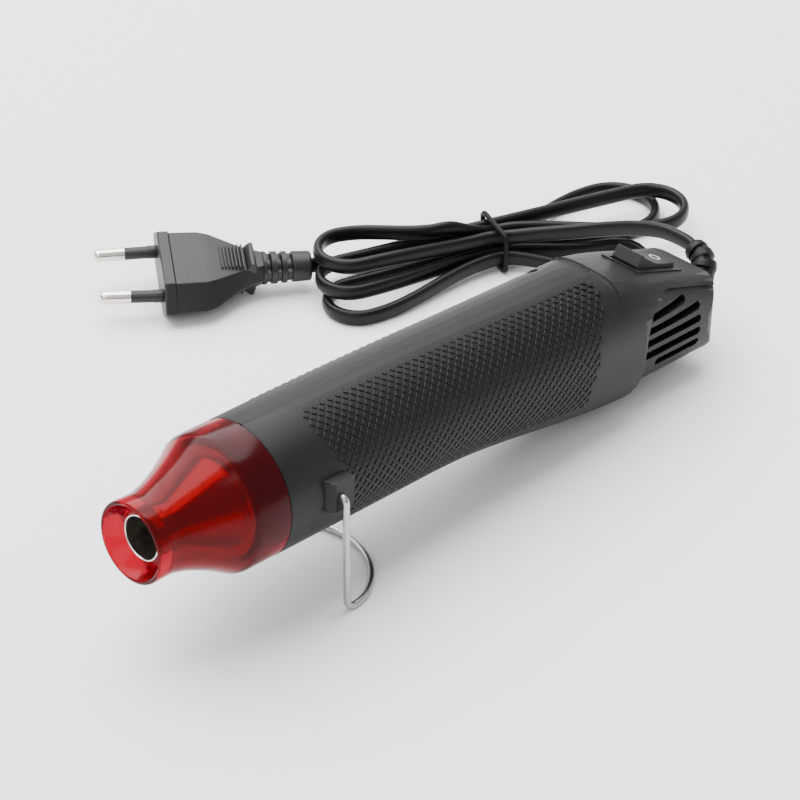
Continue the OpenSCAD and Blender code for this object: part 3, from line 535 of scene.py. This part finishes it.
# Each station is its place from the face back, the length and height of the hexagon and its flat width
plugStations = [(0, 34.5, 12.9, 21.4), (0.5, 35.3, 13.7, 22), (3.4, 35.3, 13.7, 22), (3.5, 34.1, 12.6, 21.6),
                (12.5, 33.6, 12.3, 21), (15.5, 31.2, 11.8, 19.4), (24.4, 16.6, 9.3, 10.6),
                (27.6, 13.6, 8.5, 8.6), (31.9, 10.4, 8.0, 5.4)]
plugRibs = dict(count=7, first=18.3, pitch=1.08, height=4.9, size=(0.55, 9.4, 2.6), rounding=0.2)
plugThumb = dict(half=4.9, rounding=0.35,
                 wedge=[(25.6, 4.7), (27.2, 6.5), (28.3, 6.5), (28.9, 4.2), (28.9, 2.6), (25.6, 2.6)])
plugNeck = dict(start=31.2, spacing=0.25, sides=40, radius=5.2, taper=0.04, rounding=0.6, core=2.8, sink=0.5,
                firstSlot=32.3, pitch=3.2, slots=3, slot=0.42, bridge=0.88, flatness=0.96)
plugAt = hankPoints[0]
plugDip = math.asin((plug["height"] - plugAt.z) / plug["length"])
plugPlace = (toMetres @ Matrix.Translation(plugAt) @ Matrix.Rotation(math.radians(plug["turn"]), 4, "Z")
             @ Matrix.Rotation(plugDip, 4, "Y") @ Matrix.Translation((-plug["length"], 0, 0))
             @ Matrix.Rotation(math.radians(plug["roll"]), 4, "X"))


def hexagonRing(x, length, height, flat):
    a, b, c = length / 2, flat / 2, height / 2
    return [(x, a, 0), (x, b, c), (x, -b, c), (x, -a, 0), (x, -b, -c), (x, b, -c)]


def makePlugBody():
    body = grownPiece("plugShell", [hexagonRing(*station) for station in plugStations])
    closeUp(body, 30)
    soften(body, 1.1, 22, 3)
    parts = [body]
    for side in (-1, 1):
        for i in range(plugRibs["count"]):
            bpy.ops.object.select_all(action="DESELECT")
            spot = (plugRibs["first"] + plugRibs["pitch"] * i, 0, side * plugRibs["height"])
            bpy.ops.mesh.primitive_cube_add(size=1, location=spot)
            rib = bpy.context.object
            rib.scale = plugRibs["size"]
            bpy.ops.object.transform_apply(location=True, rotation=True, scale=True)
            soften(rib, plugRibs["rounding"])
            parts.append(rib)
        block = grownPiece("plugThumb", [[(x, y, side * z) for x, z in plugThumb["wedge"]]
                                         for y in (-plugThumb["half"], plugThumb["half"])])
        closeUp(block, 30)
        soften(block, plugThumb["rounding"])
        parts.append(block)
    whole = join(parts, "plugBody")
    bpy.ops.object.shade_smooth_by_angle(angle=math.radians(38))
    return finishPiece(whole, plugPlace, plugBlack, "housing", "plug", ("plug_body",))


def makePlugRelief():
    neck = plugNeck
    steps = int((plug["length"] + 0.01 - neck["start"]) / neck["spacing"])
    spots = [Vector((neck["start"] + neck["spacing"] * k, 0, 0)) for k in range(steps + 1)]
    end = plug["length"] - neck["rounding"]

    def outline(i):
        x = spots[i].x
        outer = neck["radius"] - neck["taper"] * (x - 31)
        if x > end:
            outer -= 0.4 * ((x - end) / neck["rounding"]) ** 2
        place = (x - neck["firstSlot"]) / neck["pitch"]
        slot = 0 < place < neck["slots"] and place % 1 < neck["slot"]
        ring = []
        for k in range(neck["sides"]):
            a = math.tau * k / neck["sides"]
            bridging = abs(math.cos(a)) > neck["bridge"]
            radius = neck["core"] if slot and not bridging else outer - (neck["sink"] if slot else 0)
            ring.append((radius * math.cos(a), radius * neck["flatness"] * math.sin(a)))
        return ring

    relief = sweptPiece("plugRelief", spots, outline, level=True, angle=40)
    return finishPiece(relief, plugPlace, plugBlack, "housing", "plug", ("plug_relief",))


def makePins():
    lean = math.asin(plug["lean"] / plug["pinLength"])
    r, s = plug["pinRadius"], plug["sleeveRadius"]
    tip = [(-17.5 - 1.5 * math.sin(math.radians(a)), 0.9 + (r - 0.9) * math.cos(math.radians(a)))
           for a in range(15, 91, 15)]
    pinProfile = [(-9.8, 0), (-9.8, r), (-17.4, r)] + tip + [(-plug["pinLength"], 0)]
    sleeveProfile = [(2.9, 0), (2.9, 1.6), (0, 1.6), (-0.1, s), (-2.6, s), (-2.9, s - 0.12), (-9.7, s - 0.12),
                     (-10, s - 0.3), (-10, 0)]
    for name, profile, node, material, slotName in [
            ("plugPins", pinProfile, "plug_pins", nickel, "nickel"),
            ("pinSleeves", sleeveProfile, "pin_sleeves", sleeveBlack, "plug")]:
        pair = []
        for side in (-1, 1):
            pin = spunPiece(name, profile, 48)
            pin.data.transform(Matrix.Translation((0, side * plug["pitch"] / 2, 0))
                               @ Matrix.Rotation(side * lean, 4, "Z"))
            pair.append(pin)
        yield finishPiece(join(pair, name), plugPlace, material, "housing", slotName, (node,))


plugParts = [makePlugBody(), makePlugRelief(), *makePins()]
bootMouth = leadRoute[0]
tuple(bootMouth)
round(lineLength(leadRoute), 4)
[tuple(p) for p in leadRoute]
print("plug made")


# Nozzle guard and outlet

guard = dict(length=38.7, lip=11.8, neck=6.0, shoulder=27.5, wall=1.6, collar=19.85, spigot=17.95,
             outletIn=4.1, web=1.8, steps=30, throat=9,
             rim=[(0.7, 10.4), (0.15, 10.6), (0.0, 10.9), (0.06, 11.35), (0.3, 11.65)])
outlet = dict(radius=6.6, wall=0.5, heater=15.8)


def guardRadius(x):
    share = (x - guard["neck"]) / (guard["shoulder"] - guard["neck"])
    return guard["lip"] - 0.15 + (guard["collar"] + 0.15 - guard["lip"]) * max(0, share) ** 1.6


def makeGuard():
    web = guard["outletIn"] + guard["web"]
    steps, neck, cone = guard["steps"], guard["neck"], guard["shoulder"] - guard["neck"]
    outer = [(x, guardRadius(x)) for x in [neck + (cone - 0.5) * i / steps for i in range(steps + 1)]]
    inner = [(x, max(guard["throat"], guardRadius(x - 1) - guard["wall"]))
             for x in [neck + 1 + cone * i / steps for i in range(steps, -1, -1)]]
    profile = (guard["rim"] + [(0.9, guard["lip"])] + outer
               + [(28.2, guard["collar"]), (38.3, guard["collar"]), (guard["length"], guard["collar"] - 0.3),
                  (guard["length"], guard["spigot"]), (29.1, guard["spigot"])]
               + [(min(x, 28.5), min(r, guard["spigot"])) for x, r in inner]
               + [(web, guard["throat"]), (web, outlet["radius"] + 0.05),
                  (guard["outletIn"], outlet["radius"] + 0.05)])
    piece = spunPiece("nozzleGuard", profile, 128, 30)
    return finishPiece(piece, toolPlace, guardRed, "housing", "guard", ("nozzle_guard",))


def makeOutlet():
    t, r = outlet["wall"], outlet["radius"]
    profile = [(3.8, r - 0.15), (3.95, r), (14.0, r), (15.2, r + 0.3), (27.0, 12.35), (27.9, 12.8),
               (28.8, 12.9), (28.8, outlet["heater"]), (29.4, outlet["heater"]), (29.4, 12.6), (28.3, 12.2),
               (27.4, 11.8),
               (15.6, r - t + 0.25), (14.4, r - t), (3.95, r - t), (3.8, r - t + 0.1)]
    piece = spunPiece("outletNozzle", profile, 96, 30)
    return finishPiece(piece, toolPlace, brightSteel, "housing", "steel", ("outlet_nozzle",))


makeGuard()
makeOutlet()
print("nozzle made")


# Stand

stand = dict(radius=1.0, pivotX=54, pivotZ=1.7, pin=17.2, leg=24.1, reach=20, pinBend=1.6, toeBend=2.5,
             corner=14)


def makeStand():
    pivot = toMetres.inverted() @ toolPlace @ Vector((stand["pivotX"], 0, stand["pivotZ"]))
    r, leg, toe = stand["radius"], stand["leg"], stand["toeBend"]
    footX = pivot.x + toe
    spread, depth = leg - stand["corner"], stand["reach"] - stand["corner"]
    back = (spread * spread - depth * depth) / (2 * depth)
    turn = math.degrees(math.atan2(spread, back))

    def arc(centre, radius, first, last, steps):
        angles = [math.radians(first + (last - first) * k / steps) for k in range(steps + 1)]
        return [(centre[0] + radius * math.cos(a), centre[1] + radius * math.sin(a)) for a in angles]

    half = [(pivot.x, stand["pin"], pivot.z)]
    bend = stand["pinBend"]
    half += [(pivot.x, y, z) for y, z in arc((leg - bend, pivot.z - bend), bend, 90, 0, 10)]
    half += [(x, leg, z) for x, z in arc((footX, r + toe), toe, 180, 270, 10)]
    half += [(x, y, r) for x, y in arc((footX, spread), stand["corner"], 86, turn, 14)]
    bow = [(x, y, r) for x, y in arc((footX - back, 0), stand["reach"] + back, 0.9 * turn, -0.9 * turn, 24)]
    path = [Vector(p) for p in half + bow + [(x, -y, z) for x, y, z in half[::-1]]]
    ring = ringPoints(r, 20)
    piece = sweptPiece("standWire", path, lambda i: ring, level=False)
    return finishPiece(piece, toMetres, standSteel, "stand", "stand", ("stand_wire",))


makeStand()
print("stand bent")


# Casing

def dressNode(nodeName, pieceName, material, body, slotName, angle=32):
    # a merged copy of the CAD solid, so that its rounded faces shade smoothly
    piece = nodes[nodeName].copy()
    piece.data = nodes[nodeName].data.copy()
    piece.parent = None
    for key in list(piece.keys()):
        del piece[key]
    piece.name = pieceName
    bpy.context.collection.objects.link(piece)
    closeUp(piece, angle, 0.000002)
    modify(piece, "WEIGHTED_NORMAL", weight=80, keep_sharp=True)
    return finishPiece(piece, Matrix.Identity(4), material, body, slotName, (nodeName,))


casingSmoothing = 18
dressNode("left_shell", "leftCasing", casing, "housing", "shell", casingSmoothing)
dressNode("right_shell", "rightCasing", casing, "housing", "shell", casingSmoothing)

# Where the grip begins and ends along the tool, by angle round the casing: (angle, front, rear)
gripEdge = [(-40, 62, 156), (-17, 61.5, 156.5), (8, 60, 158.5), (25, 58, 160), (32, 57, 161), (43, 56, 163),
            (53, 55, 165), (58, 55, 166), (90, 55, 166)]
grip = dict(pitch=2.05, block=1.56, height=0.26, sink=0.25, inset=0.16, top=74, farTop=40, bottom=-34,
            front=54, rear=167)


def bodyPoint(x, angle):  # the casing's surface where a ray at that angle leaves its section's centre
    r = 19.9 - 0.6 * ease((x - 60) / 120)
    top = -1.5 * ease((x - 60) / 114)
    low = -9.5 * ease((x - 98) / 86)
    centre = (top + low) / 2
    c, s = math.cos(angle), math.sin(angle)
    lift = (top if s >= 0 else low) - centre
    reach = s * lift + math.sqrt(max(0, r * r - lift * lift * c * c))
    if abs(reach * s) < abs(lift):
        reach = r / max(c, 0.01)
    return Vector((x, reach * c, centre + reach * s))


def inGrip(x, angle):
    for (a0, f0, r0), (a1, f1, r1) in zip(gripEdge, gripEdge[1:]):
        if a0 <= angle <= a1:
            t = (angle - a0) / (a1 - a0)
            return f0 + (f1 - f0) * t <= x <= r0 + (r1 - r0) * t
    return False


def makeGrip(side, name):  # rows of small raised squares that run at 45 degrees to the tool
    half, h, inset = grip["block"] / 2, grip["height"], grip["inset"]
    corners = [(-half, 0), (0, -half), (half, 0), (0, half)]
    points, faces = [], []
    step = grip["pitch"] * math.sqrt(0.5)
    turn = math.degrees(step / 19.9)
    top = grip["top"] if side < 0 else grip["farTop"]
    for row in range(int((top - grip["bottom"]) / turn) + 1):
        angle = top - row * turn
        x = grip["front"] + row % 2 * step
        while x < grip["rear"]:
            if inGrip(x, angle):
                a = math.radians(angle)
                spot = bodyPoint(x, a)
                around = (bodyPoint(x, a + 0.02) - bodyPoint(x, a - 0.02)).normalized()
                out = around.cross(Vector((1, 0, 0))).normalized()
                out = out if out.dot(Vector((0, spot.y, spot.z))) > 0 else -out
                first = len(points)
                for size, lift in [(1, -grip["sink"]), (1, h - inset), (1 - inset / half, h)]:
                    for u, v in corners:
                        p = spot + (Vector((1, 0, 0)) * u + around * v) * size * math.sqrt(2) + out * lift
                        points.append((p.x, p.y * side, p.z))
                for low in (first, first + 4):
                    for k in range(4):
                        after = low + (k + 1) % 4
                        faces.append((low + k, after, after + 4, low + 4 + k))
                faces.append((first + 8, first + 9, first + 10, first + 11))
                faces.append((first + 3, first + 2, first + 1, first))
            x += 2 * step
    piece = startPiece(name, points, faces=faces)
    closeUp(piece, 20, 0.0001)
    return finishPiece(piece, toolPlace, gripBlack, "housing", "shell")


makeGrip(-1, "leftGrip")
makeGrip(1, "rightGrip")
print("casing and grip made")


# Switch

deck = dict(x=183.6, height=12.7, slope=18.5, centre=13.7, pivot=-2.5, tip=9.25)
deckPlace = (toolPlace @ Matrix.Translation((deck["x"], 0, deck["height"]))
             @ Matrix.Rotation(math.radians(deck["slope"]), 4, "Y"))
rockerPlace = (deckPlace @ Matrix.Translation((deck["centre"], 0, deck["pivot"]))
               @ Matrix.Rotation(math.radians(deck["tip"]), 4, "Y"))
rocker = dict(width=9.8, end=8.1, out=8.8, valley=4.2)
marks = dict(circleAt=4.7, radii=(1.42, 1.76), flat=0.8, tall=1.05, steps=40, bar=(-6.2, -3.4), halfBar=0.28,
             sunk=-0.1, proud=0.05)

dressNode("switch_frame", "switchFrame", switchBlack, "housing", "dark_plastic")


def rockerHeight(u):
    rise = rocker["end"] * math.tan(math.radians(deck["tip"]))
    return rocker["valley"] + rise * (abs(u) / rocker["end"]) ** 1.7


def makeRocker():
    end, out = rocker["end"], rocker["out"]
    top = [(end * k / 10, rockerHeight(end * k / 10)) for k in range(-10, 11)]
    outline = top + [(out, 1.9), (out - 1.2, -1.4), (3, -4.5), (-3, -4.5), (-out + 1.2, -1.4), (-out, 1.9)]
    half = rocker["width"] / 2
    piece = grownPiece("rockerBody", [[(u, y, n) for u, n in outline] for y in (-half, half)])
    closeUp(piece, 30)
    soften(piece, 0.25, 35, 2)
    bpy.ops.object.shade_smooth_by_angle(angle=math.radians(35))
    pivot = spunPiece("rockerPivot", [(-5.6, 0), (-5.6, 0.98), (5.6, 0.98), (5.6, 0)], 32)
    pivot.data.transform(Matrix.Rotation(math.radians(90), 4, "Z"))
    whole = join([piece, pivot], "rockerKey")
    return finishPiece(whole, rockerPlace, switchBlack, "rocker", "rocker", ("switch_rocker",))


def makeMarks():
    steps, low, high = marks["steps"], marks["sunk"], marks["proud"]
    points, faces = [], []
    for k in range(steps):
        a = math.tau * k / steps
        for radius in marks["radii"]:
            u = marks["circleAt"] + radius * math.cos(a) * marks["flat"]
            v = radius * math.sin(a) * marks["tall"]
            points += [(u, v, rockerHeight(u) + lift) for lift in (low, high)]
    for k in range(steps):
        a, b = 4 * k, 4 * ((k + 1) % steps)
        faces += [(a + 1, b + 1, b + 3, a + 3), (a + 3, b + 3, b + 2, a + 2), (a, a + 2, b + 2, b),
                  (b + 1, a + 1, a, b)]
    circle = startPiece("markO", points, faces=faces)
    closeUp(circle, 40, 0.001)
    first, last = marks["bar"]
    corners = [(first, low), (last, low), (last, high), (first, high)]
    bar = grownPiece("markI", [[(u, v, rockerHeight(u) + lift) for u, lift in corners]
                               for v in (-marks["halfBar"], marks["halfBar"])])
    closeUp(bar, 40, 0.001)
    return finishPiece(join([circle, bar], "rockerMarks"), rockerPlace, markWhite, "rocker", "white_plastic")


makeRocker()
makeMarks()
print("switch made")


# What is inside keeps its CAD shape

inner = dict(heater_barrel=warmSteel, mica_sleeve=mica, mica_frame=mica, heating_coil=warmSteel,
             thermal_fuse=ceramic, heater_disc=ceramic, fan_housing=palePlastic, fan=fanBlue,
             motor_shaft=brightSteel, motor_can=brightSteel, motor_end_cap=darkPlastic,
             motor_sleeve=darkPlastic, rectifier_board=boardBrown, diodes=darkPlastic, capacitor=capacitorRed,
             switch_terminals=brass, cord_clamp=darkPlastic, clamp_screws=brightSteel,
             case_screws=brightSteel, cord_inner_end=leadBlack, splice_cap=palePlastic, live_lead=brownLead,
             heater_lead=brownLead, neutral_lead=blueLead, motor_leads=redLead)
for nodeName, material in inner.items():
    nodes[nodeName].data.materials.clear()
    nodes[nodeName].data.materials.append(material)
print("inner parts finished")


# Floor and light

studio = dict(floor=rgb(0.93, 0.93, 0.935), world=0.8,
              lights=[((0.1, 0.6, 1.3), 1.9, 78), ((-0.9, -0.4, 0.9), 0.8, 5)])


def makeStudio():
    bpy.ops.mesh.primitive_plane_add(size=8, location=(0, 0, -0.0002))
    floor = bpy.context.object
    floor.name = "floor"
    paper = Finish("Paper", {"Roughness": 0.7, "Specular IOR Level": 0.25})
    paper.wear(colour=paper.between(paper.noise(3, 1), studio["floor"], rgb(0.92, 0.92, 0.925)))
    floor.data.materials.append(paper.material)
    world = bpy.data.worlds.new("Studio")
    world.use_nodes = True
    world.node_tree.nodes["Background"].inputs["Color"].default_value = rgb(1, 1, 1)
    world.node_tree.nodes["Background"].inputs["Strength"].default_value = studio["world"]
    bpy.context.scene.world = world
    for place, size, power in studio["lights"]:
        bpy.ops.object.light_add(type="AREA", location=place)
        lamp = bpy.context.object
        lamp.data.size = size
        lamp.data.energy = power
        lamp.rotation_euler = (Vector((0, 0, 0.02)) - Vector(place)).to_track_quat("-Z", "Y").to_euler()


makeStudio()
print("studio lit")
